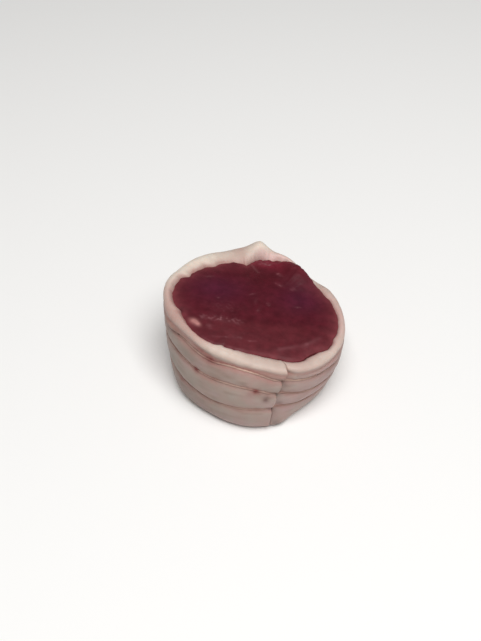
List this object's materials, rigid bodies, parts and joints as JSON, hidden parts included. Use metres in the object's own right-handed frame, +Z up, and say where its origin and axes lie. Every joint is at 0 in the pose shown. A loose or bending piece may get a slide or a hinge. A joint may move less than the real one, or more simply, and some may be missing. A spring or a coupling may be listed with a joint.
{
  "type": "raw veal medallion",
  "caption": "Thick round of raw lean veal with a strip of white fat round its side, bound with thin string in soft grooves; the cut face slopes gently.",
  "frame": {"origin": "middle of the whole box, on the flat underside", "axes": "+Z up through the round, square to the underside; the seam of the fat faces -Y and the cut face falls towards +X"},
  "size_m": [0.0732, 0.0754, 0.0396],
  "materials": {
    "lean": "moist raw muscle, dark maroon with fine fibres",
    "fat": "soft waxy white fat, pink where it meets the lean",
    "string": "thin twisted string stained pink"
  },
  "bodies": {
    "root": {"meat": "lean", "fat_wrap": "fat", "string_1": "string", "string_2": "string", "string_3": "string"}
  },
  "joints": []
}
